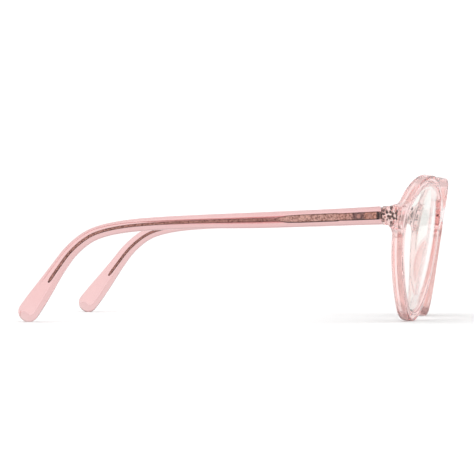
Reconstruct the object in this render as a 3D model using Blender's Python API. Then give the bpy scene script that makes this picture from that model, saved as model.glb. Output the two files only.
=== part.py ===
"""Round translucent spectacles: a curved acetate front with two lenses and two wire-cored temples.

Sizes are in millimetres and become metres where a mesh is made. +Z is up, the front faces -Y and +X is
the wearer's left. The spectacles stand on the bottoms of both rims and on both temple tips.
Front pieces are drawn flat as (x, depth, height), then bent round the face and leant forward.
"""

import math

import bmesh
import bpy
import numpy as np
from mathutils import Matrix, Vector

MM = 0.001

# Front
RIM_CENTRE_X = 35.1
RIM_HALF_WIDTH = 27.5
RIM_HALF_HEIGHT = 27.7
RIM_TOP_WIDENING = 0.21
RIM_OUTER_WIDENING = 0.09
RIM_WIDTH = 3.5
FRONT_THICKNESS = 4.4
EDGE_ROUND = 0.8
FRONT_RADIUS = 207.0
FRONT_LEAN = math.radians(8.6)
FRONT_DROP = 0.74
RIM_STEPS = 52

# Bridge and ears of the front's outline, right half, as (x, height) in the flat drawing
BRIDGE_TOP = [(0.0, 43.6), (3.0, 43.8), (6.0, 44.5), (8.4, 45.9)]
BRIDGE_BOTTOM = [(6.9, 35.4), (5.4, 37.2), (3.0, 38.1), (0.0, 38.4)]
EAR = [(63.6, 43.1), (66.6, 42.9), (68.2, 42.3), (68.9, 41.0), (68.9, 35.8), (68.2, 34.5), (65.6, 33.6)]
NASAL_JOIN_HIGH = 47.2
NASAL_JOIN_LOW = 33.6
EAR_JOIN_HIGH = 44.6
EAR_JOIN_LOW = 31.8

# Lenses
LENS_THICKNESS = 1.8
LENS_DEPTH = 2.0
LENS_BULGE = 1.2
LENS_GAP = 0.15
BEVEL_REACH = 0.55
BEVEL_LAND = 0.7
GROOVE_CLEARANCE = 0.2

# Nose pads
PAD_LOW = 8.5
PAD_HIGH = 34.0
PAD_HEIGHT = 4.3
PAD_HALF_WIDTH = 2.3
PAD_SHIFT = -0.9
PAD_GAP = 0.2

# Hinge
JOINT_Y = 11.83
JOINT_GAP = 0.35
HINGE_X = 62.3
HINGE_Z = 39.6
BARREL_RADIUS = 1.25
BARREL_HOLE = 0.66
BARREL_CLEARANCE = 1.55
STACK_HALF = 2.35
MIDDLE_HALF = 0.75
BARREL_GAP = 0.15
SCREW_RADIUS = 0.6
SCREW_HEAD_RADIUS = 1.15
SCREW_HEAD_HEIGHT = 0.55
SLOT_WIDTH = 0.35
SLOT_DEPTH = 0.3
TONGUE_LOW = Vector((63.9, 6.3, 37.8))
TONGUE_HIGH = Vector((65.1, 11.5, 41.4))
TOOTH_PITCH = 1.15
TOOTH_DEPTH = 0.5
TOOTH_OVERCUT = 0.2
WEB_DEPTH = 0.95
POCKET_GAP = 0.3
ENDPIECE = [
    (6.0, 60.8, 67.3, 35.5, 43.25),
    (8.4, 61.6, 67.5, 35.65, 43.2),
    (10.2, 62.8, 67.5, 36.0, 43.05),
    (JOINT_Y, 63.3, 67.5, 36.23, 42.97),
]
PIN_RADIUS = 0.45
PIN_Y = 8.6
PIN_HEIGHTS = {"upper": 42.0, "lower": 37.15}
PIN_START_X = 62.7
PIN_END_X = 66.0

# Temples: depth, half spacing, height, blade height and thickness of the centre line
TEMPLE_STATIONS = [
    (JOINT_Y + JOINT_GAP, 65.4, 39.6, 6.74, 4.2),
    (31.5, 66.2, 38.8, 6.2, 4.1),
    (55.0, 67.0, 37.9, 5.9, 4.0),
    (80.0, 67.5, 37.25, 5.1, 3.9),
    (96.0, 67.4, 36.5, 4.85, 3.8),
    (107.0, 67.1, 35.5, 4.7, 3.8),
    (115.8, 66.8, 33.7, 4.75, 3.8),
    (121.8, 66.5, 31.0, 4.9, 3.8),
    (127.8, 66.0, 25.9, 5.1, 3.7),
    (133.0, 65.2, 19.2, 5.6, 3.6),
    (137.5, 64.0, 12.9, 6.7, 3.5),
    (141.9, 62.6, 6.9, 7.6, 3.4),
    (146.6, 61.0, 0.75, 7.8, 3.3),
]
TIP_RADIUS = 3.9
TEMPLE_STEP = 4.8
SAMPLES_PER_SPAN = 24
CORNER_POWER = 5.0

# Core wire: distance along the temple, height and thickness
WIRE_SIDE = 0.05
WIRE_STATIONS = [
    (0.9, 2.9, 0.9),
    (14.5, 2.7, 0.9),
    (16.0, 3.1, 0.9),
    (34.5, 2.7, 0.9),
    (38.8, 1.2, 0.9),
    (60.0, 1.15, 0.95),
    (100.0, 1.15, 0.95),
]
WIRE_END = 132.5
WIRE_GAP = 0.25

# Leaf of the hinge that lies beside the core wire, with two rivets through both
LEAF_SIDE = -1.0
LEAF_HEIGHT = 2.8
LEAF_THICKNESS = 0.7
LEAF_START = 0.35
LEAF_END = 11.0
LEAF_SLOT_SIDE = -0.425
LEAF_SLOT_THICKNESS = 2.65
RIVETS = {"front": 4.2, "rear": 8.4}
RIVET_RADIUS = 0.45
RIVET_HEAD_RADIUS = 0.8
RIVET_HEAD = 0.2
RIVET_HOLE = 0.6

# Half the depth of the whole object, from its foremost point, so that the origin is under its middle
MIDDLE_Y = 70.74

SIDES = {"left": 1, "right": -1}


def clear_scene():
    for obj in list(bpy.data.objects):
        bpy.data.objects.remove(obj, do_unlink=True)


def new_collection(name):
    made = bpy.data.collections.new(name)
    bpy.context.scene.collection.children.link(made)
    return made


def new_material(name, colour, roughness, metallic, transmission=0.0):
    made = bpy.data.materials.new(name)
    made.use_nodes = True
    shader = made.node_tree.nodes["Principled BSDF"]
    shader.inputs["Base Color"].default_value = (*colour, 1.0)
    shader.inputs["Roughness"].default_value = roughness
    shader.inputs["Metallic"].default_value = metallic
    shader.inputs["Transmission Weight"].default_value = transmission
    return made


def metres(point):
    return Vector((point[0], point[1] - MIDDLE_Y, point[2])) * MM


class Builder:
    """Makes mesh objects in one collection, on a pivot when they turn about a hinge."""

    def __init__(self, collection, pivot=None, is_cutter=False):
        self.collection = collection
        self.pivot = pivot
        self.is_cutter = is_cutter

    def from_bmesh(self, name, shape, finish=None):
        """The bmesh is in millimetres, in world axes."""
        base = self.pivot.location if self.pivot else Vector()
        for vert in shape.verts:
            vert.co = metres(vert.co) - base
        bmesh.ops.remove_doubles(shape, verts=shape.verts, dist=1e-7)
        bmesh.ops.recalc_face_normals(shape, faces=shape.faces)
        mesh = bpy.data.meshes.new(name)
        shape.to_mesh(mesh)
        shape.free()
        if finish:
            mesh.materials.append(finish)
        obj = bpy.data.objects.new(name, mesh)
        self.collection.objects.link(obj)
        obj.parent = self.pivot
        if self.is_cutter:
            obj.hide_render = True
            obj.display_type = "WIRE"
        return obj


def boolean(target, other, operation):
    change = target.modifiers.new(operation.title() + "_" + other.name, "BOOLEAN")
    change.operation = operation
    change.solver = "EXACT"
    change.object = other


def cut(target, *cutters):
    for cutter in cutters:
        boolean(target, cutter, "DIFFERENCE")


def join(target, *others):
    for other in others:
        boolean(target, other, "UNION")


def sided(side, point):
    return Vector((point[0] * side, point[1], point[2]))


def box_shape(low, high, side=1):
    shape = bmesh.new()
    bmesh.ops.create_cube(shape, size=1.0)
    low, high = Vector(low), Vector(high)
    middle, spread = (low + high) / 2, high - low
    for vert in shape.verts:
        local = Vector(a * b for a, b in zip(vert.co, spread))
        vert.co = sided(side, middle + local)
    return shape


def post_shape(x, y, low, high, radius, segments=24):
    """A vertical cylinder, turned half a step so that no corner lies on a neighbour's face."""
    shape = bmesh.new()
    turn = Matrix.Rotation(math.pi / segments, 4, "Z")
    bmesh.ops.create_cone(
        shape,
        cap_ends=True,
        segments=segments,
        radius1=radius,
        radius2=radius,
        depth=high - low,
        matrix=Matrix.Translation((x, y, (low + high) / 2)) @ turn,
    )
    return shape


def turned_shape(profile, centre, side, segments=16):
    """A body of revolution about the X direction. The profile is (distance from the centre, radius)."""
    rings = []
    for along, radius in profile:
        ring = []
        for i in range(segments):
            angle = 2 * math.pi * i / segments
            offset = Vector((along, radius * math.cos(angle), radius * math.sin(angle)))
            ring.append(sided(side, Vector(centre) + offset))
        rings.append(ring)
    return loft_shape(rings)


def loft_shape(rings):
    """A closed body through rings of equal length, with a flat cap on each end."""
    shape = bmesh.new()
    made = [[shape.verts.new(point) for point in ring] for ring in rings]
    count = len(rings[0])
    for near, far in zip(made, made[1:]):
        for i in range(count):
            j = (i + 1) % count
            shape.faces.new((near[i], near[j], far[j], far[i]))
    shape.faces.new(reversed(made[0]))
    shape.faces.new(made[-1])
    return shape


def rounded_ring(half_width, half_height, segments=16, power=CORNER_POWER):
    """Corners of a rounded rectangle, as (across, up)."""
    ring = []
    for i in range(segments):
        angle = 2 * math.pi * (i + 0.5) / segments
        c, s = math.cos(angle), math.sin(angle)
        scale = (abs(c) ** power + abs(s) ** power) ** (-1 / power)
        ring.append((half_width * c * scale, half_height * s * scale))
    return ring


def rim_point(angle, grow):
    """A point on the rim's outer outline, moved outwards by grow. The outline is widest above its middle."""
    c, s = math.cos(angle), math.sin(angle)
    widening = RIM_TOP_WIDENING + RIM_OUTER_WIDENING * c
    x = RIM_HALF_WIDTH * c * (1 + widening * s)
    dx = RIM_HALF_WIDTH * (widening * (c * c - s * s) - s - RIM_OUTER_WIDENING * c * s * s)
    dz = RIM_HALF_HEIGHT * c
    length = math.hypot(dx, dz)
    return (
        RIM_CENTRE_X + x + grow * dz / length,
        RIM_HALF_HEIGHT * (1 + s) - grow * dx / length,
    )


def rim_angle(height, nasal):
    rise = math.asin(height / RIM_HALF_HEIGHT - 1)
    return math.pi - rise if nasal else rise


def rim_outline(grow, count=RIM_STEPS):
    return [rim_point(2 * math.pi * i / count, grow) for i in range(count)]


def rim_arc(start, end, grow=0.0):
    count = max(3, round(abs(end - start) / (2 * math.pi) * RIM_STEPS))
    return [rim_point(start + (end - start) * i / count, grow) for i in range(count + 1)]


def front_outline():
    """Outline of the whole front, clockwise from the middle of the bridge's top."""
    over = rim_arc(rim_angle(NASAL_JOIN_HIGH, True), rim_angle(EAR_JOIN_HIGH, False))
    under = rim_arc(rim_angle(EAR_JOIN_LOW, False), rim_angle(NASAL_JOIN_LOW, True) - 2 * math.pi)
    half = BRIDGE_TOP + over + EAR + under + BRIDGE_BOTTOM
    mirrored = [(-x, z) for x, z in reversed(half[1:-1])]
    return half + mirrored


def bent(x, depth, height, side=1):
    """Bends a flat point round the face, leans the front and sets it down."""
    angle = x / FRONT_RADIUS
    reach = FRONT_RADIUS - depth
    flat_y = FRONT_RADIUS - reach * math.cos(angle)
    return Vector(
        (
            side * reach * math.sin(angle),
            flat_y * math.cos(FRONT_LEAN) - height * math.sin(FRONT_LEAN),
            height * math.cos(FRONT_LEAN) + flat_y * math.sin(FRONT_LEAN) - FRONT_DROP,
        )
    )


def front_shape():
    """A 2D curve with rounded edges and two lens openings, thickened, then bent."""
    curve = bpy.data.curves.new("front_drawing", "CURVE")
    curve.dimensions = "2D"
    curve.fill_mode = "BOTH"
    curve.extrude = FRONT_THICKNESS / 2 - EDGE_ROUND
    curve.bevel_depth = EDGE_ROUND
    curve.bevel_resolution = 1
    curve.offset = -EDGE_ROUND
    openings = [[(x * side, z) for x, z in rim_outline(-RIM_WIDTH)] for side in SIDES.values()]
    for outline in [front_outline(), *openings]:
        spline = curve.splines.new("POLY")
        spline.points.add(len(outline) - 1)
        spline.use_cyclic_u = True
        for point, (x, z) in zip(spline.points, outline):
            point.co = (x, z, 0, 1)
    drawing = bpy.data.objects.new("front_drawing", curve)
    bpy.context.scene.collection.objects.link(drawing)
    graph = bpy.context.evaluated_depsgraph_get()
    mesh = bpy.data.meshes.new_from_object(drawing.evaluated_get(graph))
    shape = bmesh.new()
    shape.from_mesh(mesh)
    bmesh.ops.remove_doubles(shape, verts=shape.verts, dist=1e-4)
    for vert in shape.verts:
        vert.co = bent(vert.co.x, FRONT_THICKNESS / 2 - vert.co.z, vert.co.y)
    bpy.data.objects.remove(drawing, do_unlink=True)
    bpy.data.curves.remove(curve)
    bpy.data.meshes.remove(mesh)
    return shape


def lens_rings(side, clearance):
    """Rings of a lens from the middle of its front, over the bevelled edge, to the middle of its back."""
    half = LENS_THICKNESS / 2 + clearance
    body = rim_outline(-RIM_WIDTH - LENS_GAP + clearance / 2)
    tip = rim_outline(-RIM_WIDTH + BEVEL_REACH + clearance)

    def ring(share, offset):
        depth = LENS_DEPTH + offset - LENS_BULGE * (1 - share**2)
        return [
            bent(
                RIM_CENTRE_X + share * (x - RIM_CENTRE_X),
                depth,
                RIM_HALF_HEIGHT + share * (z - RIM_HALF_HEIGHT),
                side,
            )
            for x, z in body
        ]

    shares = (0.12, 0.4, 0.7, 1.0)
    land = BEVEL_LAND / 2 + clearance
    edge = [[bent(x, LENS_DEPTH + o, z, side) for x, z in tip] for o in (-land, land)]
    front = [ring(share, -half) for share in shares]
    back = [ring(share, half) for share in reversed(shares)]
    return front + edge + back


def pad_shape(side):
    """A long rounded pad that follows the nose side of the rim."""
    start, end = rim_angle(PAD_LOW, True), rim_angle(PAD_HIGH, True)
    rings = []
    steps = 14
    base = FRONT_THICKNESS + PAD_GAP
    for i in range(steps + 1):
        share = i / steps
        swell = max(0.16, math.sin(math.pi * share)) ** 0.75
        half_width = PAD_HALF_WIDTH * (0.55 + 0.45 * swell)
        ring = []
        for j in range(10):
            angle = math.pi * j / 9
            grow = PAD_SHIFT + half_width * math.copysign(abs(math.cos(angle)) ** 0.7, math.cos(angle))
            x, z = rim_point(start + (end - start) * share, grow)
            ring.append(bent(x, base + PAD_HEIGHT * swell * math.sin(angle) ** 0.7, z, side))
        rings.append(ring)
    return loft_shape(rings)


def endpiece_shape(side):
    rings = []
    for y, inner, outer, low, high in ENDPIECE:
        ring = rounded_ring((outer - inner) / 2, (high - low) / 2)
        rings.append(
            [sided(side, (x + (inner + outer) / 2, y, z + (low + high) / 2)) for x, z in ring]
        )
    return loft_shape(rings)


def smooth_path(stations):
    """Catmull-Rom samples through the stations, with the distance along them as the first column."""
    points = np.array(stations)
    ends = (2 * points[0] - points[1], 2 * points[-1] - points[-2])
    padded = np.vstack((ends[0], points, ends[1]))
    rows = []
    for i in range(len(points) - 1):
        a, b, c, d = padded[i : i + 4]
        for t in np.linspace(0, 1, SAMPLES_PER_SPAN, endpoint=False):
            rows.append(
                0.5 * (2 * b + (c - a) * t + (2 * a - 5 * b + 4 * c - d) * t**2 + (3 * (b - c) + d - a) * t**3)
            )
    rows = np.vstack((rows, points[-1]))
    steps = np.linalg.norm(np.diff(rows[:, :3], axis=0), axis=1)
    return np.column_stack((np.concatenate(([0], np.cumsum(steps))), rows))


PATH = smooth_path(TEMPLE_STATIONS)
TEMPLE_LENGTH = PATH[-1, 0]


def along(distance):
    """Centre, direction, height and thickness of the temple at this distance from the hinge."""
    row = [float(np.interp(distance, PATH[:, 0], PATH[:, i])) for i in range(1, 6)]
    near, far = max(distance - 0.4, 0.0), min(distance + 0.4, TEMPLE_LENGTH)
    ends = [
        Vector([float(np.interp(d, PATH[:, 0], PATH[:, i])) for i in (2, 1, 3)]) for d in (near, far)
    ]
    centre = Vector((row[1], row[0], row[2]))
    return centre, (ends[1] - ends[0]).normalized(), row[3], row[4]


def section(side, distance, height, thickness, across=0.0, segments=12, power=CORNER_POWER):
    """A rounded section square to the temple's path."""
    reach = min(max(distance, 0.0), TEMPLE_LENGTH)
    centre, ahead, _, _ = along(reach)
    centre = centre + ahead * (distance - reach)
    lateral = (Vector((1, 0, 0)) - ahead * ahead.x).normalized()
    up = lateral.cross(ahead)
    ring = rounded_ring(thickness / 2, height / 2, segments, power)
    return [sided(side, centre + lateral * (across + x) + up * z) for x, z in ring]


def temple_shape(side):
    rings = []
    count = round((TEMPLE_LENGTH - TIP_RADIUS) / TEMPLE_STEP)
    for i in range(count + 1):
        distance = (TEMPLE_LENGTH - TIP_RADIUS) * i / count
        _, _, height, thickness = along(distance)
        rings.append(section(side, distance, height, thickness))
    for degrees in (22, 42, 60, 76):
        angle = math.radians(degrees)
        distance = TEMPLE_LENGTH - TIP_RADIUS * (1 - math.sin(angle))
        _, _, height, thickness = along(distance)
        rings.append(section(side, distance, height * math.cos(angle), thickness * math.cos(angle) ** 0.4))
    return loft_shape(rings)


def wire_shape(side, gap, start, end):
    """The core wire, or the channel round it when gap is over zero."""
    knots = [s[0] for s in WIRE_STATIONS]
    places = sorted({start, end, *[k for k in knots if start < k < end], *np.arange(44.0, end, 6.5)})
    rings = []
    for place in places:
        height = np.interp(place, knots, [s[1] for s in WIRE_STATIONS])
        thickness = np.interp(place, knots, [s[2] for s in WIRE_STATIONS])
        rings.append(
            section(side, place, height + 2 * gap, thickness + 2 * gap, WIRE_SIDE, 8, CORNER_POWER)
        )
    return loft_shape(rings)


def strip_shape(side, start, end, height, thickness, across):
    places = np.linspace(start, end, 4)
    return loft_shape([section(side, p, height, thickness, across, 8, 12.0) for p in places])


def screw_shape(side, top, bottom):
    rings = []
    levels = [
        (bottom, SCREW_RADIUS * 0.75),
        (bottom + 0.2, SCREW_RADIUS),
        (top, SCREW_RADIUS),
        (top, SCREW_HEAD_RADIUS),
        (top + SCREW_HEAD_HEIGHT * 0.6, SCREW_HEAD_RADIUS),
        (top + SCREW_HEAD_HEIGHT, SCREW_HEAD_RADIUS * 0.75),
    ]
    for level, radius in levels:
        ring = []
        for i in range(20):
            angle = 2 * math.pi * i / 20
            ring.append(
                Vector(
                    (side * HINGE_X + radius * math.cos(angle), JOINT_Y + radius * math.sin(angle), level)
                )
            )
        rings.append(ring)
    return loft_shape(rings)


def build_front_leaf(side, name, parts, cutters, finish):
    """Two barrels on a web, with a toothed tongue sunk in the endpiece."""
    x = side * HINGE_X
    leaf = parts.from_bmesh(name, box_shape(TONGUE_LOW, TONGUE_HIGH, side), finish)
    middle = (TONGUE_LOW + TONGUE_HIGH) / 2
    notch_heights = (
        (TONGUE_LOW.z - TOOTH_OVERCUT, TONGUE_LOW.z + TOOTH_DEPTH),
        (TONGUE_HIGH.z - TOOTH_DEPTH, TONGUE_HIGH.z + TOOTH_OVERCUT),
    )
    for bottom, top in notch_heights:
        for tooth in range(3):
            y = TONGUE_LOW.y + TOOTH_PITCH * (tooth + 0.6)
            low = (TONGUE_LOW.x - 1, y, bottom)
            high = (TONGUE_HIGH.x + 1, y + TOOTH_PITCH / 2, top)
            cut(leaf, cutters.from_bmesh(f"{name}_tooth", box_shape(low, high, side)))
    web_low = (HINGE_X, TONGUE_HIGH.y - WEB_DEPTH, HINGE_Z - STACK_HALF)
    web_high = (middle.x, TONGUE_HIGH.y, HINGE_Z + STACK_HALF)
    join(leaf, cutters.from_bmesh(f"{name}_web", box_shape(web_low, web_high, side)))
    barrel = post_shape(x, JOINT_Y, HINGE_Z - STACK_HALF, HINGE_Z + STACK_HALF, BARREL_RADIUS)
    join(leaf, cutters.from_bmesh(f"{name}_barrel", barrel))
    half = MIDDLE_HALF + BARREL_GAP
    clear = post_shape(x, JOINT_Y, HINGE_Z - half, HINGE_Z + half, BARREL_CLEARANCE)
    cut(leaf, cutters.from_bmesh(f"{name}_middle_gap", clear))
    bore = post_shape(x, JOINT_Y, HINGE_Z - 5, HINGE_Z + 5, BARREL_HOLE)
    cut(leaf, cutters.from_bmesh(f"{name}_bore", bore))


def build_temple_leaf(side, name, parts, cutters, finish):
    """One barrel on a web, with a tongue that lies beside the core wire."""
    x = side * HINGE_X
    strip = strip_shape(side, LEAF_START, LEAF_END, LEAF_HEIGHT, LEAF_THICKNESS, LEAF_SIDE)
    leaf = parts.from_bmesh(name, strip, finish)
    start_y = JOINT_Y + JOINT_GAP + LEAF_START
    web_low = (HINGE_X, start_y, HINGE_Z - MIDDLE_HALF)
    web_high = (TONGUE_LOW.x + 0.6, start_y + 0.9, HINGE_Z + MIDDLE_HALF)
    join(leaf, cutters.from_bmesh(f"{name}_web", box_shape(web_low, web_high, side)))
    barrel = post_shape(x, JOINT_Y, HINGE_Z - MIDDLE_HALF, HINGE_Z + MIDDLE_HALF, BARREL_RADIUS)
    join(leaf, cutters.from_bmesh(f"{name}_barrel", barrel))
    bore = post_shape(x, JOINT_Y, HINGE_Z - 5, HINGE_Z + 5, BARREL_HOLE)
    cut(leaf, cutters.from_bmesh(f"{name}_bore", bore))
    return leaf


def rivet_profile():
    inner = LEAF_SIDE - LEAF_THICKNESS / 2 - 0.05
    outer = WIRE_SIDE + 0.45 + 0.05
    return [
        (inner - RIVET_HEAD, RIVET_HEAD_RADIUS * 0.8),
        (inner - RIVET_HEAD * 0.4, RIVET_HEAD_RADIUS),
        (inner, RIVET_HEAD_RADIUS),
        (inner, RIVET_RADIUS),
        (outer, RIVET_RADIUS),
        (outer, RIVET_HEAD_RADIUS),
        (outer + RIVET_HEAD * 0.6, RIVET_HEAD_RADIUS),
        (outer + RIVET_HEAD, RIVET_HEAD_RADIUS * 0.8),
    ]


def build_temple(side, label, collections, looks):
    pivot = bpy.data.objects.new(f"hinge_axis_{label}", None)
    pivot.location = metres((side * HINGE_X, JOINT_Y, HINGE_Z))
    collections["parts"].objects.link(pivot)
    parts = Builder(collections["parts"], pivot)
    cutters = Builder(collections["cutters"], pivot, is_cutter=True)

    temple = parts.from_bmesh(f"temple_{label}", temple_shape(side), looks["acetate"])
    channel = cutters.from_bmesh(
        f"temple_{label}_channel", wire_shape(side, WIRE_GAP, -1.0, WIRE_END + WIRE_GAP)
    )
    slot = cutters.from_bmesh(
        f"temple_{label}_slot",
        strip_shape(side, -1.0, LEAF_END + 0.4, LEAF_HEIGHT + 0.6, LEAF_SLOT_THICKNESS, LEAF_SLOT_SIDE),
    )
    web_gap = MIDDLE_HALF + BARREL_GAP + 0.1
    web = box_shape(
        (HINGE_X - 1, JOINT_Y - 1, HINGE_Z - web_gap),
        (TONGUE_LOW.x + 0.3, JOINT_Y + JOINT_GAP + LEAF_START + 1.2, HINGE_Z + web_gap),
        side,
    )
    notch = post_shape(side * HINGE_X, JOINT_Y, HINGE_Z - 5, HINGE_Z + 5, BARREL_CLEARANCE)
    floor = box_shape((40, 120, -5), (80, 170, 0), side)
    cut(
        temple,
        channel,
        slot,
        cutters.from_bmesh(f"temple_{label}_web_recess", web),
        cutters.from_bmesh(f"temple_{label}_barrel_notch", notch),
        cutters.from_bmesh(f"temple_{label}_rest_flat", floor),
    )

    wire = parts.from_bmesh(
        f"core_wire_{label}", wire_shape(side, 0.0, WIRE_STATIONS[0][0], WIRE_END), looks["core"]
    )
    leaf = build_temple_leaf(side, f"temple_leaf_{label}", parts, cutters, looks["hinge"])
    for place, distance in RIVETS.items():
        centre = along(distance)[0]
        hole = turned_shape([(-3, RIVET_HOLE), (3, RIVET_HOLE)], centre, side)
        bore = cutters.from_bmesh(f"rivet_{place}_{label}_bore", hole)
        cut(wire, bore)
        cut(leaf, bore)
        parts.from_bmesh(
            f"rivet_{place}_{label}", turned_shape(rivet_profile(), centre, side), looks["rivet"]
        )


def build_front(collections, looks):
    parts = Builder(collections["parts"])
    cutters = Builder(collections["cutters"], is_cutter=True)
    front = parts.from_bmesh("front_frame", front_shape(), looks["acetate"])
    for label, side in SIDES.items():
        join(front, cutters.from_bmesh(f"endpiece_{label}", endpiece_shape(side)))
    for label, side in SIDES.items():
        groove = loft_shape(lens_rings(side, GROOVE_CLEARANCE))
        gap = Vector((POCKET_GAP, POCKET_GAP, POCKET_GAP))
        pocket = box_shape(TONGUE_LOW - gap, TONGUE_HIGH + gap + Vector((0, 3, 0)), side)
        recess = box_shape(
            (HINGE_X - 2, TONGUE_HIGH.y - WEB_DEPTH - POCKET_GAP, HINGE_Z - STACK_HALF - POCKET_GAP),
            (TONGUE_HIGH.x + POCKET_GAP / 2, JOINT_Y + 2, HINGE_Z + STACK_HALF + POCKET_GAP),
            side,
        )
        notch = post_shape(side * HINGE_X, JOINT_Y, HINGE_Z - 5, HINGE_Z + 5, BARREL_CLEARANCE)
        cut(
            front,
            cutters.from_bmesh(f"groove_{label}", groove),
            cutters.from_bmesh(f"barrel_notch_{label}", notch),
            cutters.from_bmesh(f"web_recess_{label}", recess),
            cutters.from_bmesh(f"leaf_pocket_{label}", pocket),
        )
        for place, height in PIN_HEIGHTS.items():
            centre = (0, PIN_Y, height)
            hole_end = PIN_END_X + 0.2
            hole = [(PIN_START_X - 3, PIN_RADIUS + 0.2), (hole_end, PIN_RADIUS + 0.2)]
            cut(front, cutters.from_bmesh(f"pin_{place}_{label}_hole", turned_shape(hole, centre, side, 12)))
            pin = [
                (PIN_START_X, PIN_RADIUS * 0.8),
                (PIN_START_X + 0.15, PIN_RADIUS),
                (PIN_END_X - 0.3, PIN_RADIUS),
                (PIN_END_X, PIN_RADIUS * 0.5),
            ]
            parts.from_bmesh(f"anchor_pin_{place}_{label}", turned_shape(pin, centre, side, 12), looks["rivet"])
        parts.from_bmesh(f"lens_{label}", loft_shape(lens_rings(side, 0.0)), looks["lens"])
        parts.from_bmesh(f"nose_pad_{label}", pad_shape(side), looks["pad"])
        build_front_leaf(side, f"front_leaf_{label}", parts, cutters, looks["hinge"])
        top = HINGE_Z + STACK_HALF + 0.1
        screw = parts.from_bmesh(
            f"hinge_screw_{label}", screw_shape(side, top, HINGE_Z - STACK_HALF - 0.25), looks["screw"]
        )
        head_top = top + SCREW_HEAD_HEIGHT
        slot = box_shape(
            (HINGE_X - 2, JOINT_Y - SLOT_WIDTH / 2, head_top - SLOT_DEPTH),
            (HINGE_X + 2, JOINT_Y + SLOT_WIDTH / 2, head_top + 1),
            side,
        )
        cut(screw, cutters.from_bmesh(f"screw_slot_{label}", slot))
    cut(front, cutters.from_bmesh("front_rest_flat", box_shape((-80, -20, -5), (80, 40, 0))))


def main():
    clear_scene()
    collections = {"parts": new_collection("round_spectacles"), "cutters": new_collection("cutters")}
    looks = {
        "acetate": new_material("pink_acetate", (0.93, 0.62, 0.60), 0.12, 0.0, 0.6),
        "pad": new_material("pad_acetate", (0.94, 0.66, 0.64), 0.15, 0.0, 0.6),
        "lens": new_material("coated_lens", (0.95, 0.96, 0.98), 0.03, 0.0, 0.9),
        "core": new_material("rose_gold_core", (0.66, 0.44, 0.36), 0.30, 1.0),
        "hinge": new_material("hinge_metal", (0.60, 0.54, 0.50), 0.28, 1.0),
        "screw": new_material("screw_steel", (0.70, 0.69, 0.68), 0.22, 1.0),
        "rivet": new_material("rivet_steel", (0.50, 0.47, 0.45), 0.30, 1.0),
    }
    build_front(collections, looks)
    for label, side in SIDES.items():
        build_temple(side, label, collections, looks)


main()
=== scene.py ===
"""Looks for the round translucent spectacles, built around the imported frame.

Shapes are drawn in millimetres in the same drawing as the CAD: front pieces are flat points
(x, depth, height) bent round the face, temple pieces are sections along one smooth path.
"""

import math

import bmesh
import bpy
import numpy as np
from mathutils import Matrix, Vector


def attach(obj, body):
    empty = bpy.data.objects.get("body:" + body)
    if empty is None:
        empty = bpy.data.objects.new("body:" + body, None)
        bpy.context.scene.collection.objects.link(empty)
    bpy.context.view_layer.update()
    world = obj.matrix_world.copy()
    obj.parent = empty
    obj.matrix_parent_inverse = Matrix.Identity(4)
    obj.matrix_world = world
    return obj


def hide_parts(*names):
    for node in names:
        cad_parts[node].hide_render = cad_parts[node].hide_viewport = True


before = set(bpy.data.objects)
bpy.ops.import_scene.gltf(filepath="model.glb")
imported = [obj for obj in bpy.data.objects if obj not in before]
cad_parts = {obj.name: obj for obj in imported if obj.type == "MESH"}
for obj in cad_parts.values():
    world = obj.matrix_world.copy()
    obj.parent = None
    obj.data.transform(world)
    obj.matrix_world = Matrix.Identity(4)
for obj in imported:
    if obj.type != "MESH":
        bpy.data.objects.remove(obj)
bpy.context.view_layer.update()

MM = 0.001
SIDES = {"left": 1, "right": -1}
POST_SEGMENTS = 32

# Front: the CAD's values, but finer steps, a smaller edge round and slightly narrower ears
RIM_CENTRE_X = 35.1
RIM_HALF_WIDTH = 27.5
RIM_HALF_HEIGHT = 27.7
RIM_TOP_WIDENING = 0.21
RIM_OUTER_WIDENING = 0.09
RIM_WIDTH = 3.5
FRONT_THICKNESS = 4.4
FRONT_RADIUS = 207.0
FRONT_LEAN = math.radians(8.6)
FRONT_DROP = 0.74
RIM_STEPS = 60
EDGE_ROUND = 0.75
CORNER_ROUNDS = 2
VOXEL_SIZE = 0.000288
SMOOTH_BEFORE_WRAP = 6
SMOOTH_AFTER_WRAP = 5
BRIDGE_TOP = [(0.0, 43.6), (3.0, 43.8), (6.0, 44.5), (8.4, 45.9)]
BRIDGE_BOTTOM = [(6.9, 35.4), (5.4, 37.2), (3.0, 38.1), (0.0, 38.4)]
EAR = [
    (63.6, 43.1), (66.6, 42.9), (68.2, 42.3), (68.88, 41.0),
    (68.88, 35.8), (68.2, 34.5), (65.6, 33.6),
]
NASAL_JOIN_HIGH = 47.2
NASAL_JOIN_LOW = 33.6
EAR_JOIN_HIGH = 44.6
EAR_JOIN_LOW = 31.8
JOINT_Y = 11.83
JOINT_GAP = 0.35
ENDPIECE = [
    (6.0, 60.8, 67.3, 35.5, 43.25),
    (8.4, 61.6, 67.5, 35.65, 43.2),
    (10.2, 62.8, 67.5, 36.0, 43.05),
    (JOINT_Y, 63.3, 67.5, 36.23, 42.97),
]

# Lenses
LENS_THICKNESS = 1.8
LENS_DEPTH = 2.0
LENS_BULGE = 1.2
LENS_GAP = 0.06
LENS_EDGE_EASE = 0.22
LENS_STEPS = 144
LENS_SHARES = [0.05, *np.linspace(0.15, 0.95, 9)]

# Nose pads
PAD_LOW = 8.5
PAD_HIGH = 34.0
PAD_HEIGHT = 4.3
PAD_HALF_WIDTH = 2.3
PAD_SHIFT = -0.9
PAD_SINK = 1.0
PAD_STEPS = 40
PAD_ARC_STEPS = 18
PAD_ROUNDNESS = 0.7

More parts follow.
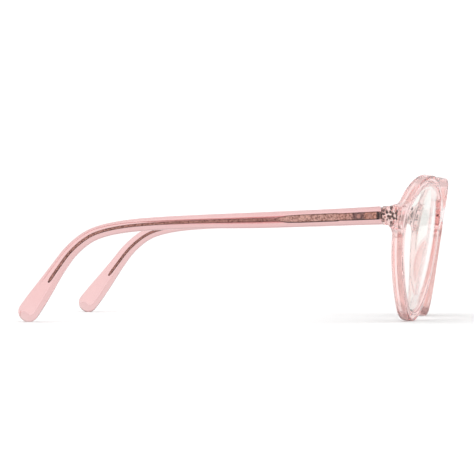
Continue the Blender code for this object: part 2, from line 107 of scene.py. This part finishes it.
# Hinge
HINGE_X = 62.3
HINGE_Z = 39.6
BARREL_CLEARANCE = 1.55
STACK_HALF = 2.35
MIDDLE_HALF = 0.75
TONGUE_X = (63.9, 65.1)
NOTCH_HALF = 5
RECESS_START = 10.25
RECESS_MARGIN = 0.3
WEB_DEPTH = 1.55

# Temples: depth, half spacing, height, blade height and thickness of the centre line
TEMPLE_STATIONS = [
    (JOINT_Y + JOINT_GAP, 65.4, 39.6, 6.74, 4.2),
    (31.5, 66.2, 38.8, 6.2, 4.1),
    (55.0, 67.0, 37.9, 5.9, 4.0),
    (80.0, 67.5, 37.25, 5.1, 3.9),
    (96.0, 67.4, 36.5, 4.85, 3.8),
    (107.0, 67.1, 35.5, 4.7, 3.8),
    (115.8, 66.8, 33.7, 4.75, 3.8),
    (121.8, 66.5, 31.0, 4.9, 3.8),
    (127.8, 66.0, 25.9, 5.1, 3.7),
    (133.0, 65.2, 19.2, 5.6, 3.6),
    (137.5, 64.0, 12.9, 6.7, 3.5),
    (141.9, 62.6, 6.9, 7.6, 3.4),
    (146.55, 61.0, 0.75, 7.8, 3.3),
]
TIP_RADIUS = 3.9
SAMPLES_PER_SPAN = 24
TEMPLE_SEGMENTS = 40
TEMPLE_RINGS = 128
END_EASE = 0.45
END_TAPER = 4
BODY_START = 1.2
TIP_TURN = 8
TIP_FLATNESS = 0.4
SLOPE_REACH = 0.4
WIRE_SIDE = 0.05
LEAF_CELLS = 900.0
WIRE_END = 132.5
MIDDLE_Y = 70.74

# Boxes below the floor, which cut the rims and the tips flat
UNDER_FRONT = ((-80, -20, -5), (80, 40, 0.02))
UNDER_TIP = ((40, 120, -5), (80, 170, 0.0))


# ---------------------------------------------------------------- helpers

def metres(point):
    return Vector((point[0], point[1] - MIDDLE_Y, point[2])) * MM


def sided(side, point):
    return Vector((point[0] * side, point[1], point[2]))


def object_from(name, shape):
    for vert in shape.verts:
        vert.co = metres(vert.co)
    bmesh.ops.remove_doubles(shape, verts=shape.verts, dist=1e-7)
    bmesh.ops.recalc_face_normals(shape, faces=shape.faces)
    mesh = bpy.data.meshes.new(name)
    shape.to_mesh(mesh)
    shape.free()
    for face in mesh.polygons:
        face.use_smooth = True
    obj = bpy.data.objects.new(name, mesh)
    bpy.context.scene.collection.objects.link(obj)
    return obj


def settle(obj):
    """Replaces the object's mesh with the result of its modifiers."""
    graph = bpy.context.evaluated_depsgraph_get()
    mesh = bpy.data.meshes.new_from_object(obj.evaluated_get(graph))
    obj.modifiers.clear()
    old = obj.data
    obj.data = mesh
    bpy.data.meshes.remove(old)
    for face in mesh.polygons:
        face.use_smooth = True
    return obj


def combine(target, others, operation):
    for other in others:
        change = target.modifiers.new(operation, "BOOLEAN")
        change.operation = operation
        change.solver = "EXACT"
        change.object = other
    settle(target)
    for other in others:
        bpy.data.objects.remove(other, do_unlink=True)


def soften(obj, rounds):
    smooth = obj.modifiers.new("soften", "SMOOTH")
    smooth.factor = 0.5
    smooth.iterations = rounds


def loft_shape(rings):
    shape = bmesh.new()
    made = [[shape.verts.new(point) for point in ring] for ring in rings]
    count = len(rings[0])
    for near, far in zip(made, made[1:]):
        for i in range(count):
            j = (i + 1) % count
            shape.faces.new((near[i], near[j], far[j], far[i]))
    shape.faces.new(reversed(made[0]))
    shape.faces.new(made[-1])
    return shape


def box_shape(low, high, side=1):
    shape = bmesh.new()
    bmesh.ops.create_cube(shape, size=1.0)
    low, high = Vector(low), Vector(high)
    middle, spread = (low + high) / 2, high - low
    for vert in shape.verts:
        local = Vector(a * b for a, b in zip(vert.co, spread))
        vert.co = sided(side, middle + local)
    return shape


def post_shape(x, y, low, high, radius):
    shape = bmesh.new()
    bmesh.ops.create_cone(
        shape,
        cap_ends=True,
        segments=POST_SEGMENTS,
        radius1=radius,
        radius2=radius,
        depth=high - low,
        matrix=Matrix.Translation((x, y, (low + high) / 2)),
    )
    return shape


def notch_shape(side):
    """The room that both halves of the hinge leave for the barrels."""
    low, high = HINGE_Z - NOTCH_HALF, HINGE_Z + NOTCH_HALF
    return post_shape(side * HINGE_X, JOINT_Y, low, high, BARREL_CLEARANCE)


# ---------------------------------------------------------------- front

def rim_point(angle, grow):
    c, s = math.cos(angle), math.sin(angle)
    widening = RIM_TOP_WIDENING + RIM_OUTER_WIDENING * c
    x = RIM_HALF_WIDTH * c * (1 + widening * s)
    dx = RIM_HALF_WIDTH * (widening * (c * c - s * s) - s - RIM_OUTER_WIDENING * c * s * s)
    dz = RIM_HALF_HEIGHT * c
    length = math.hypot(dx, dz)
    return (
        RIM_CENTRE_X + x + grow * dz / length,
        RIM_HALF_HEIGHT * (1 + s) - grow * dx / length,
    )


def rim_angle(height, nasal):
    rise = math.asin(height / RIM_HALF_HEIGHT - 1)
    return math.pi - rise if nasal else rise


def rim_outline(grow, count):
    return [rim_point(2 * math.pi * i / count, grow) for i in range(count)]


def rim_arc(start, end):
    count = max(3, round(abs(end - start) / (2 * math.pi) * RIM_STEPS))
    return [rim_point(start + (end - start) * i / count, 0.0) for i in range(count + 1)]


def front_outline():
    over = rim_arc(rim_angle(NASAL_JOIN_HIGH, True), rim_angle(EAR_JOIN_HIGH, False))
    under = rim_arc(rim_angle(EAR_JOIN_LOW, False), rim_angle(NASAL_JOIN_LOW, True) - 2 * math.pi)
    half = BRIDGE_TOP + over + EAR + under + BRIDGE_BOTTOM
    mirrored = [(-x, z) for x, z in reversed(half[1:-1])]
    return half + mirrored


def cut_corners(outline, rounds):
    """Chaikin's corner cutting, which turns the drawing's corners into curves."""
    for _ in range(rounds):
        finer = []
        for (ax, az), (bx, bz) in zip(outline, outline[1:] + outline[:1]):
            finer.append((0.75 * ax + 0.25 * bx, 0.75 * az + 0.25 * bz))
            finer.append((0.25 * ax + 0.75 * bx, 0.25 * az + 0.75 * bz))
        outline = finer
    return outline


def bent(x, depth, height, side=1):
    angle = x / FRONT_RADIUS
    reach = FRONT_RADIUS - depth
    flat_y = FRONT_RADIUS - reach * math.cos(angle)
    return Vector(
        (
            side * reach * math.sin(angle),
            flat_y * math.cos(FRONT_LEAN) - height * math.sin(FRONT_LEAN),
            height * math.cos(FRONT_LEAN) + flat_y * math.sin(FRONT_LEAN) - FRONT_DROP,
        )
    )


def front_drawing():
    """The front's outline with two openings, thickened with rounded edges, then bent."""
    curve = bpy.data.curves.new("front_drawing", "CURVE")
    curve.dimensions = "2D"
    curve.fill_mode = "BOTH"
    curve.extrude = FRONT_THICKNESS / 2 - EDGE_ROUND
    curve.bevel_depth = EDGE_ROUND
    curve.bevel_resolution = 3
    curve.offset = -EDGE_ROUND
    openings = [
        [(x * side, z) for x, z in rim_outline(-RIM_WIDTH, LENS_STEPS)] for side in SIDES.values()
    ]
    for outline in [cut_corners(front_outline(), CORNER_ROUNDS), *openings]:
        spline = curve.splines.new("POLY")
        spline.points.add(len(outline) - 1)
        spline.use_cyclic_u = True
        for point, (x, z) in zip(spline.points, outline):
            point.co = (x, z, 0, 1)
    drawing = bpy.data.objects.new("front_drawing", curve)
    bpy.context.scene.collection.objects.link(drawing)
    graph = bpy.context.evaluated_depsgraph_get()
    mesh = bpy.data.meshes.new_from_object(drawing.evaluated_get(graph))
    shape = bmesh.new()
    shape.from_mesh(mesh)
    bmesh.ops.remove_doubles(shape, verts=shape.verts, dist=1e-4)
    for vert in shape.verts:
        vert.co = bent(vert.co.x, FRONT_THICKNESS / 2 - vert.co.z, vert.co.y)
    bpy.data.objects.remove(drawing, do_unlink=True)
    bpy.data.curves.remove(curve)
    bpy.data.meshes.remove(mesh)
    return object_from("front_acetate", shape)


def lens_shape(side):
    """A meniscus lens whose edge is eased where it meets the polished sides."""
    half = LENS_THICKNESS / 2

    def ring(share, offset, grow):
        depth = LENS_DEPTH + offset - LENS_BULGE * (1 - share**2)
        return [
            bent(
                RIM_CENTRE_X + share * (x - RIM_CENTRE_X),
                depth,
                RIM_HALF_HEIGHT + share * (z - RIM_HALF_HEIGHT),
                side,
            )
            for x, z in rim_outline(-RIM_WIDTH - grow, LENS_STEPS)
        ]

    front = [ring(share, -half, LENS_EDGE_EASE) for share in LENS_SHARES]
    back = [ring(share, half, LENS_EDGE_EASE) for share in reversed(LENS_SHARES)]
    edge = [
        ring(1.0, -half, LENS_EDGE_EASE),
        ring(1.0, -half + LENS_EDGE_EASE, LENS_GAP),
        ring(1.0, half - LENS_EDGE_EASE, LENS_GAP),
        ring(1.0, half, LENS_EDGE_EASE),
    ]
    return loft_shape(front + edge + back)


def pad_shape(side):
    """A long rounded pad that grows out of the nose side of the rim."""
    start, end = rim_angle(PAD_LOW, True), rim_angle(PAD_HIGH, True)
    rings = []
    base = FRONT_THICKNESS - PAD_SINK
    for i in range(PAD_STEPS + 1):
        share = i / PAD_STEPS
        swell = max(0.1, math.sin(math.pi * share)) ** 0.75
        half_width = PAD_HALF_WIDTH * (0.55 + 0.45 * swell)
        ring = []
        for j in range(PAD_ARC_STEPS + 1):
            angle = math.pi * j / PAD_ARC_STEPS
            across = math.cos(angle)
            grow = PAD_SHIFT + half_width * math.copysign(abs(across) ** PAD_ROUNDNESS, across)
            x, z = rim_point(start + (end - start) * share, grow)
            rise = (PAD_HEIGHT + PAD_SINK) * swell * math.sin(angle) ** PAD_ROUNDNESS
            ring.append(bent(x, base + rise, z, side))
        rings.append(ring)
    return loft_shape(rings)


def rounded_ring(half_width, half_height, segments=48, power=5.0):
    ring = []
    for i in range(segments):
        angle = 2 * math.pi * (i + 0.5) / segments
        c, s = math.cos(angle), math.sin(angle)
        scale = (abs(c) ** power + abs(s) ** power) ** (-1 / power)
        ring.append((half_width * c * scale, half_height * s * scale))
    return ring


def endpiece_shape(side):
    rings = []
    for y, inner, outer, low, high in ENDPIECE:
        ring = rounded_ring((outer - inner) / 2, (high - low) / 2)
        rings.append(
            [sided(side, (x + (inner + outer) / 2, y, z + (low + high) / 2)) for x, z in ring]
        )
    return loft_shape(rings)


def build_front():
    front = front_drawing()
    added = []
    for side in SIDES.values():
        added.append(object_from("endpiece", endpiece_shape(side)))
        added.append(object_from("pad", pad_shape(side)))
    combine(front, added, "UNION")
    cuts = []
    for side in SIDES.values():
        cuts.append(object_from("notch", notch_shape(side)))
        cuts.append(
            object_from(
                "recess",
                box_shape(
                    (HINGE_X - 2, RECESS_START, HINGE_Z - STACK_HALF - RECESS_MARGIN),
                    (TONGUE_X[1] + 0.15, JOINT_Y + 2, HINGE_Z + STACK_HALF + RECESS_MARGIN),
                    side,
                ),
            )
        )
    cuts.append(object_from("floor", box_shape(*UNDER_FRONT)))
    combine(front, cuts, "DIFFERENCE")
    drawn = front.copy()
    drawn.data = front.data.copy()
    bpy.context.scene.collection.objects.link(drawn)
    remesh = front.modifiers.new("remesh", "REMESH")
    remesh.mode = "VOXEL"
    remesh.voxel_size = VOXEL_SIZE
    remesh.adaptivity = 0.0
    soften(front, SMOOTH_BEFORE_WRAP)
    wrap = front.modifiers.new("wrap", "SHRINKWRAP")
    wrap.target = drawn
    wrap.wrap_method = "NEAREST_SURFACEPOINT"
    soften(front, SMOOTH_AFTER_WRAP)
    settle(front)
    bpy.data.objects.remove(drawn, do_unlink=True)
    return front


# ---------------------------------------------------------------- temples

def smooth_path(stations):
    points = np.array(stations)
    ends = (2 * points[0] - points[1], 2 * points[-1] - points[-2])
    padded = np.vstack((ends[0], points, ends[1]))
    rows = []
    for i in range(len(points) - 1):
        a, b, c, d = padded[i : i + 4]
        for t in np.linspace(0, 1, SAMPLES_PER_SPAN, endpoint=False):
            rows.append(
                0.5
                * (
                    2 * b
                    + (c - a) * t
                    + (2 * a - 5 * b + 4 * c - d) * t**2
                    + (3 * (b - c) + d - a) * t**3
                )
            )
    rows = np.vstack((rows, points[-1]))
    steps = np.linalg.norm(np.diff(rows[:, :3], axis=0), axis=1)
    return np.column_stack((np.concatenate(([0], np.cumsum(steps))), rows))


PATH = smooth_path(TEMPLE_STATIONS)
TEMPLE_LENGTH = PATH[-1, 0]


def along(distance):
    row = [float(np.interp(distance, PATH[:, 0], PATH[:, i])) for i in range(1, 6)]
    near, far = max(distance - SLOPE_REACH, 0.0), min(distance + SLOPE_REACH, TEMPLE_LENGTH)
    ends = [
        Vector([float(np.interp(d, PATH[:, 0], PATH[:, i])) for i in (2, 1, 3)])
        for d in (near, far)
    ]
    centre = Vector((row[1], row[0], row[2]))
    return centre, (ends[1] - ends[0]).normalized(), row[3], row[4]


def frame_at(distance):
    reach = min(max(distance, 0.0), TEMPLE_LENGTH)
    centre, ahead, _, _ = along(reach)
    centre = centre + ahead * (distance - reach)
    lateral = (Vector((1, 0, 0)) - ahead * ahead.x).normalized()
    return centre, lateral, lateral.cross(ahead)


def section(side, distance, height, thickness):
    centre, lateral, up = frame_at(distance)
    ring = rounded_ring(thickness / 2, height / 2, TEMPLE_SEGMENTS)
    return [sided(side, centre + lateral * x + up * z) for x, z in ring]


def build_temple(side, label):
    rings = []
    for distance, share in ((0.0, 0.86), (0.12, 0.93), (END_EASE, 1.0)):
        _, _, height, thickness = along(distance)
        taper = (1 - share) * END_TAPER
        rings.append(section(side, distance, height - taper, thickness - taper))
    end = TEMPLE_LENGTH - TIP_RADIUS
    for distance in np.linspace(BODY_START, end, TEMPLE_RINGS):
        _, _, height, thickness = along(distance)
        rings.append(section(side, distance, height, thickness))
    for degrees in range(TIP_TURN, 90, TIP_TURN):
        angle = math.radians(degrees)
        distance = TEMPLE_LENGTH - TIP_RADIUS * (1 - math.sin(angle))
        _, _, height, thickness = along(distance)
        shrink = math.cos(angle)
        rings.append(section(side, distance, height * shrink, thickness * shrink**TIP_FLATNESS))
    temple = object_from(f"temple_acetate_{label}", loft_shape(rings))
    web_gap = MIDDLE_HALF + 0.25
    web = box_shape(
        (HINGE_X - 1, JOINT_Y - 1, HINGE_Z - web_gap),
        (TONGUE_X[0] + 0.3, JOINT_Y + JOINT_GAP + WEB_DEPTH, HINGE_Z + web_gap),
        side,
    )
    combine(
        temple,
        [
            object_from("web", web),
            object_from("notch", notch_shape(side)),
            object_from("floor", box_shape(*UNDER_TIP, side)),
        ],
        "DIFFERENCE",
    )
    return temple


# ---------------------------------------------------------------- core wires

# distance, height, thickness of the visible core: bar, collar, engraved blade, point, wire
CORE_PROFILE = [
    (0.9, 2.6, 0.8),
    (1.1, 2.9, 0.9),
    (14.4, 2.7, 0.9),
    (15.0, 2.5, 0.8),
    (16.2, 3.0, 0.9),
    (30.0, 2.9, 0.9),
    (34.5, 2.6, 0.9),
    (37.0, 1.7, 0.9),
    (38.6, 1.0, 0.8),
    (39.4, 1.0, 0.9),
    (60.0, 1.1, 0.95),
    (100.0, 1.1, 0.95),
    (131.6, 1.1, 0.95),
    (WIRE_END, 0.5, 0.5),
]
CORE_START = 0.9
CORE_SEGMENTS = 40
ZONES_REACH = 40.0
FINE_STEP = 0.15
COARSE_STEP = 1.0
RELIEF_START = 17.0
RELIEF_END = 37.0
RELIEF_DEPTH = 0.05
RELIEF_SINK = 0.02


def build_core(side, label):
    """The core. Its points store how far along they lie and how near an upper or lower edge, which
    the material uses for painted shade along those edges.
    """
    knots = [row[0] for row in CORE_PROFILE]
    fine = np.arange(CORE_START, ZONES_REACH, FINE_STEP)
    coarse = np.arange(ZONES_REACH, WIRE_END, COARSE_STEP)
    shape = bmesh.new()
    rings = []
    reach = shape.verts.layers.float.new("reach")
    edge = shape.verts.layers.float.new("edge")
    for distance in [*fine, *coarse, WIRE_END]:
        height = float(np.interp(distance, knots, [row[1] for row in CORE_PROFILE]))
        thickness = float(np.interp(distance, knots, [row[2] for row in CORE_PROFILE]))
        centre, lateral, up = frame_at(distance)
        ring = []
        for x, z in rounded_ring(thickness / 2, height / 2, CORE_SEGMENTS, 6.0):
            share = 2 * z / height
            if RELIEF_START < distance < RELIEF_END and abs(x) > 0.38 * thickness:
                sway = 0.6 * math.sin(distance * 1.4)
                pattern = math.sin(distance * 4.2) * math.sin(z * 5.2 + sway)
                x += math.copysign(RELIEF_DEPTH * pattern - RELIEF_SINK, x)
            vert = shape.verts.new(sided(side, centre + lateral * (WIRE_SIDE + x) + up * z))
            vert[reach] = distance
            vert[edge] = share
            ring.append(vert)
        rings.append(ring)
    for near, far in zip(rings, rings[1:]):
        for i in range(CORE_SEGMENTS):
            j = (i + 1) % CORE_SEGMENTS
            shape.faces.new((near[i], near[j], far[j], far[i]))
    shape.faces.new(reversed(rings[0]))
    shape.faces.new(rings[-1])
    return object_from(f"core_{label}", shape)


# ---------------------------------------------------------------- materials

class Nodes:
    """Small helper that adds nodes to one material and links them."""

    def __init__(self, name):
        self.material = bpy.data.materials.new(name)
        self.material.use_nodes = True
        self.tree = self.material.node_tree
        self.shader = self.tree.nodes["Principled BSDF"]
        self.coords = self.tree.nodes.new("ShaderNodeTexCoord").outputs["Object"]

    def link(self, source, target):
        self.tree.links.new(source, target)

    def noise(self, scale, detail=3.0, stretch=None, distortion=0.0):
        node = self.tree.nodes.new("ShaderNodeTexNoise")
        node.inputs["Scale"].default_value = scale
        node.inputs["Detail"].default_value = detail
        node.inputs["Distortion"].default_value = distortion
        source = self.coords
        if stretch:
            mapping = self.tree.nodes.new("ShaderNodeMapping")
            mapping.inputs["Scale"].default_value = stretch
            self.link(source, mapping.inputs["Vector"])
            source = mapping.outputs["Vector"]
        self.link(source, node.inputs["Vector"])
        return node.outputs["Fac"]

    def attribute(self, name):
        node = self.tree.nodes.new("ShaderNodeAttribute")
        node.attribute_name = name
        return node.outputs["Fac"]

    def math(self, operation, source, *values):
        node = self.tree.nodes.new("ShaderNodeMath")
        node.operation = operation
        self.link(source, node.inputs[0])
        for i, value in enumerate(values):
            node.inputs[i + 1].default_value = value
        return node.outputs["Value"]

    def multiply(self, first, second):
        node = self.tree.nodes.new("ShaderNodeMix")
        node.data_type = "RGBA"
        node.blend_type = "MULTIPLY"
        node.inputs["Factor"].default_value = 1.0
        self.link(first, node.inputs["A"])
        self.link(second, node.inputs["B"])
        return node.outputs["Result"]

    def ramp(self, source, stops):
        node = self.tree.nodes.new("ShaderNodeValToRGB")
        fill_ramp(node, stops)
        self.link(source, node.inputs["Fac"])
        return node.outputs["Color"]

    def bump(self, source, strength, distance):
        node = self.tree.nodes.new("ShaderNodeBump")
        node.inputs["Strength"].default_value = strength
        node.inputs["Distance"].default_value = distance
        self.link(source, node.inputs["Height"])
        self.link(node.outputs["Normal"], self.shader.inputs["Normal"])

    def set(self, **values):
        for name, value in values.items():
            self.shader.inputs[name.replace("_", " ")].default_value = value


def grey(value):
    return (value, value, value)


def fill_ramp(node, stops):
    elements = node.color_ramp.elements
    elements[0].position, elements[0].color = stops[0][0], (*stops[0][1], 1.0)
    elements[1].position, elements[1].color = stops[-1][0], (*stops[-1][1], 1.0)
    for position, colour in stops[1:-1]:
        elements.new(position).color = (*colour, 1.0)


def acetate(name, light, deep, body, density, clear=1.0):
    n = Nodes(name)
    swirl = n.noise(55.0, 2.0, stretch=(1.0, 0.45, 1.0), distortion=0.8)
    n.link(n.ramp(swirl, [(0.3, light), (0.7, deep)]), n.shader.inputs["Base Color"])
    polish = n.noise(420.0, 3.0)
    n.link(n.ramp(polish, [(0.35, grey(0.015)), (0.7, grey(0.06))]), n.shader.inputs["Roughness"])
    n.bump(n.noise(160.0, 1.0), 0.05, 0.0004)
    n.set(Transmission_Weight=clear, IOR=1.49, Metallic=0.0)
    volume = n.tree.nodes.new("ShaderNodeVolumeAbsorption")
    volume.inputs["Color"].default_value = (*body, 1.0)
    volume.inputs["Density"].default_value = density
    n.link(volume.outputs["Volume"], n.tree.nodes["Material Output"].inputs["Volume"])
    return n.material


def lens_glass():
    n = Nodes("coated_lens")
    haze = n.noise(90.0, 2.0)
    tint = n.ramp(haze, [(0.3, (0.95, 0.945, 0.92)), (0.7, (0.94, 0.94, 0.915))])
    n.link(tint, n.shader.inputs["Base Color"])
    n.link(n.ramp(haze, [(0.3, grey(0.0)), (0.7, grey(0.012))]), n.shader.inputs["Roughness"])
    n.set(Transmission_Weight=1.0, IOR=1.5)
    n.shader.inputs["Thin Film Thickness"].default_value = 142.0
    n.shader.inputs["Thin Film IOR"].default_value = 1.38
    return n.material


def core_metal():
    """Rose-gold core: bright bar, grey stamped patch, mottled blade, and painted shade darkening
    the wire towards its upper and lower edges.
    """
    n = Nodes("rose_gold_core")
    reach = n.attribute("reach")
    along_core = n.math("DIVIDE", reach, ZONES_REACH)
    zones = n.ramp(
        along_core,
        [
            (0.022, (0.05, 0.03, 0.03)), (0.040, (0.12, 0.07, 0.06)), (0.050, (0.82, 0.60, 0.46)),
            (0.145, (0.78, 0.55, 0.42)), (0.165, (0.36, 0.27, 0.25)), (0.255, (0.34, 0.26, 0.24)),
            (0.275, (0.80, 0.64, 0.54)), (0.385, (0.78, 0.60, 0.50)), (0.42, (0.82, 0.68, 0.58)),
            (0.90, (0.84, 0.70, 0.60)), (0.96, (0.50, 0.34, 0.28)), (1.0, (0.52, 0.34, 0.28)),
        ],
    )
    mottle = n.ramp(
        n.noise(1500.0, 4.0, distortion=0.6), [(0.38, (0.40, 0.30, 0.27)), (0.56, (1.0, 1.0, 1.0))]
    )
    edge = n.attribute("edge")
    # Painted shade: the wire darkens towards its upper and lower edges, darkest along the bottom,
    # in place of the dark reflections of a rounded bar.
    painted_edge_shade = n.ramp(
        n.math("MULTIPLY_ADD", edge, 0.5, 0.5),
        [
            (0.0, (0.08, 0.05, 0.05)), (0.10, (0.30, 0.22, 0.20)), (0.20, (1.0, 1.0, 1.0)),
            (0.86, (1.0, 1.0, 1.0)), (0.94, (0.45, 0.36, 0.33)), (1.0, (0.16, 0.11, 0.10)),
        ],
    )
    colour = n.multiply(n.multiply(zones, mottle), painted_edge_shade)
    n.link(colour, n.shader.inputs["Base Color"])
    grain = n.noise(2600.0, 4.0)
    n.link(n.ramp(grain, [(0.3, grey(0.42)), (0.7, grey(0.26))]), n.shader.inputs["Roughness"])
    n.bump(grain, 0.4, 0.00005)
    n.set(Metallic=1.0)
    return n.material


def metal(name, light, dark, rough, scale, bump_height):
    n = Nodes(name)
    grain = n.noise(scale, 5.0)
    n.link(n.ramp(grain, [(0.3, dark), (0.7, light)]), n.shader.inputs["Base Color"])
    finish = n.ramp(grain, [(0.3, grey(rough + 0.12)), (0.7, grey(rough))])
    n.link(finish, n.shader.inputs["Roughness"])
    n.bump(grain, 0.35, bump_height)
    n.set(Metallic=1.0)
    return n.material


def leaf_with_painted_glints():
    """The hinge leaf set in the front, with a cell pattern of painted highlights and painted shade:
    bright and dark spots on it.
    """
    n = Nodes("hinge_metal")
    cells = n.tree.nodes.new("ShaderNodeTexVoronoi")
    cells.inputs["Scale"].default_value = LEAF_CELLS
    cells.inputs["Randomness"].default_value = 0.8
    n.link(n.coords, cells.inputs["Vector"])
    # Painted highlights and painted shade: near-black and white cells stand in for the glints and
    # dark edges of the hinge barrels.
    painted_glints_and_shade = n.ramp(
        cells.outputs["Distance"],
        [
            (0.0, (0.012, 0.006, 0.006)), (0.28, (0.02, 0.008, 0.008)), (0.40, (0.16, 0.05, 0.04)),
            (0.50, (0.50, 0.38, 0.32)), (0.60, (1.0, 0.98, 0.96)), (1.0, (1.0, 1.0, 1.0)),
        ],
    )
    n.link(painted_glints_and_shade, n.shader.inputs["Base Color"])
    rough = n.ramp(n.noise(1500.0), [(0.3, grey(0.3)), (0.7, grey(0.2))])
    n.link(rough, n.shader.inputs["Roughness"])
    n.bump(cells.outputs["Distance"], 0.6, 0.0002)
    n.set(Metallic=1.0)
    return n.material


# ---------------------------------------------------------------- assembly

def dress(obj, material):
    obj.data.materials.clear()
    obj.data.materials.append(material)


def assemble():
    pink = acetate(
        "pink_acetate", (0.98, 0.80, 0.79), (0.97, 0.75, 0.74), (0.873, 0.687, 0.69), 300.0
    )
    # Painted light: the front gets a lighter, clearer and less absorbing copy of the temples' pink
    # acetate, which brightens it.
    front_pink_brightened = acetate(
        "pink_acetate_front_brightened", (1.0, 0.86, 0.845), (1.0, 0.82, 0.805), (0.96, 0.71, 0.70), 85.0, 0.95
    )
    glass = lens_glass()
    core = core_metal()
    hinge = metal(
        "hinge_metal_temple", (0.62, 0.56, 0.50), (0.34, 0.29, 0.25), 0.25, 1800.0, 0.00004
    )
    leaf = leaf_with_painted_glints()
    steel = metal("screw_steel", (0.78, 0.76, 0.74), (0.50, 0.48, 0.46), 0.2, 1500.0, 0.00003)
    rivet = metal("rivet_copper", (0.74, 0.54, 0.44), (0.50, 0.34, 0.28), 0.3, 1500.0, 0.00003)
    pin = metal("pin_steel", (0.30, 0.20, 0.18), (0.10, 0.06, 0.06), 0.3, 1500.0, 0.00003)

    front = build_front()
    dress(front, front_pink_brightened)
    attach(front, "front")
    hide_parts("front_frame", "nose_pad_left", "nose_pad_right")
    for label, side in SIDES.items():
        lens = object_from(f"lens_glass_{label}", lens_shape(side))
        dress(lens, glass)
        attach(lens, "front")
        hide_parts(f"lens_{label}")
        temple = build_temple(side, label)
        dress(temple, pink)
        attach(temple, f"{label}_arm")
        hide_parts(f"temple_{label}")
        wire = build_core(side, label)
        dress(wire, core)
        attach(wire, f"{label}_arm")
        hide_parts(f"core_wire_{label}")
        for node, look in (
            (f"front_leaf_{label}", leaf),
            (f"temple_leaf_{label}", hinge),
            (f"hinge_screw_{label}", steel),
            (f"rivet_front_{label}", rivet),
            (f"rivet_rear_{label}", rivet),
            (f"anchor_pin_upper_{label}", pin),
            (f"anchor_pin_lower_{label}", pin),
        ):
            dress(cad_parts[node], look)


# ---------------------------------------------------------------- studio

CAMERA_LENS = 235.8
CAMERA_DISTANCE = 1.2085
CAMERA_AZIMUTH = math.radians(-82.43)
CAMERA_ELEVATION = math.radians(0.351)
CAMERA_AIM = Vector((0.0, 0.00347, 0.03124))
FLOOR_RADIUS = 12.0
FLOOR_DROP = 0.00002
SKY = 1.16
SOFTBOX_HEIGHT = 1.7
SOFTBOX_SIZE = 2.2
SOFTBOX_POWER = 1.5
MOST_BOUNCES = 64
GLASS_BOUNCES = 48
DIFFUSE_BOUNCES = 16


def add_camera():
    data = bpy.data.cameras.new("camera")
    data.lens = CAMERA_LENS
    data.sensor_width = 36.0
    data.clip_start = 0.01
    data.clip_end = 60.0
    camera = bpy.data.objects.new("camera", data)
    bpy.context.scene.collection.objects.link(camera)
    away = Vector(
        (
            math.sin(CAMERA_AZIMUTH) * math.cos(CAMERA_ELEVATION),
            -math.cos(CAMERA_AZIMUTH) * math.cos(CAMERA_ELEVATION),
            math.sin(CAMERA_ELEVATION),
        )
    )
    camera.location = CAMERA_AIM + away * CAMERA_DISTANCE
    camera.rotation_euler = (-away).to_track_quat("-Z", "Y").to_euler()
    bpy.context.scene.camera = camera


def add_area(name, location, target, size, power):
    data = bpy.data.lights.new(name, "AREA")
    data.shape = "SQUARE"
    data.size = size
    data.energy = power
    light = bpy.data.objects.new(name, data)
    light.location = location
    light.rotation_euler = (Vector(target) - Vector(location)).to_track_quat("-Z", "Y").to_euler()
    light.visible_transmission = False
    bpy.context.scene.collection.objects.link(light)


def add_floor():
    shape = bmesh.new()
    bmesh.ops.create_circle(shape, cap_ends=True, radius=FLOOR_RADIUS, segments=96)
    mesh = bpy.data.meshes.new("studio_floor")
    shape.to_mesh(mesh)
    shape.free()
    floor = bpy.data.objects.new("studio_floor", mesh)
    floor.location.z = -FLOOR_DROP
    bpy.context.scene.collection.objects.link(floor)
    n = Nodes("studio_white")
    white = n.ramp(n.noise(30.0), [(0.3, grey(0.93)), (0.7, grey(0.95))])
    n.link(white, n.shader.inputs["Base Color"])
    n.set(Roughness=1.0)
    n.shader.inputs["Specular IOR Level"].default_value = 0.0
    dress(floor, n.material)


def studio_world():
    """White all round. Glass and metal see a greyer band above the horizon instead."""
    world = bpy.data.worlds.new("studio")
    world.use_nodes = True
    tree = world.node_tree
    place = tree.nodes.new("ShaderNodeTexCoord")
    split = tree.nodes.new("ShaderNodeSeparateXYZ")
    tree.links.new(place.outputs["Generated"], split.inputs["Vector"])
    bands = tree.nodes.new("ShaderNodeMapRange")
    bands.inputs["From Min"].default_value = -1.0
    bands.inputs["From Max"].default_value = 1.0
    tree.links.new(split.outputs["Z"], bands.inputs["Value"])
    ramp = tree.nodes.new("ShaderNodeValToRGB")
    stops = [
        (0.0, 0.94), (0.30, 0.95), (0.46, 0.99), (0.56, 1.0), (0.66, 0.98),
        (0.72, 0.76), (0.80, 0.76), (0.86, 1.05), (1.0, 1.1),
    ]
    fill_ramp(ramp, [(position, grey(value)) for position, value in stops])
    tree.links.new(bands.outputs["Result"], ramp.inputs["Fac"])
    kind = tree.nodes.new("ShaderNodeLightPath")
    plain = tree.nodes.new("ShaderNodeMath")
    plain.operation = "MAXIMUM"
    tree.links.new(kind.outputs["Is Camera Ray"], plain.inputs[0])
    tree.links.new(kind.outputs["Is Diffuse Ray"], plain.inputs[1])
    mix = tree.nodes.new("ShaderNodeMix")
    mix.data_type = "RGBA"
    tree.links.new(plain.outputs["Value"], mix.inputs["Factor"])
    tree.links.new(ramp.outputs["Color"], mix.inputs["A"])
    mix.inputs["B"].default_value = (*grey(SKY), 1.0)
    tree.links.new(mix.outputs["Result"], tree.nodes["Background"].inputs["Color"])
    return world


def add_studio():
    scene = bpy.context.scene
    scene.world = studio_world()
    scene.view_settings.view_transform = "Standard"
    scene.cycles.max_bounces = MOST_BOUNCES
    scene.cycles.transmission_bounces = GLASS_BOUNCES
    scene.cycles.glossy_bounces = GLASS_BOUNCES
    scene.cycles.diffuse_bounces = DIFFUSE_BOUNCES
    add_floor()
    above = (0.0, 0.0, SOFTBOX_HEIGHT)
    add_area("softbox_over", above, (0.0, 0.0, 0.0), SOFTBOX_SIZE, SOFTBOX_POWER)


add_camera()
add_studio()
assemble()
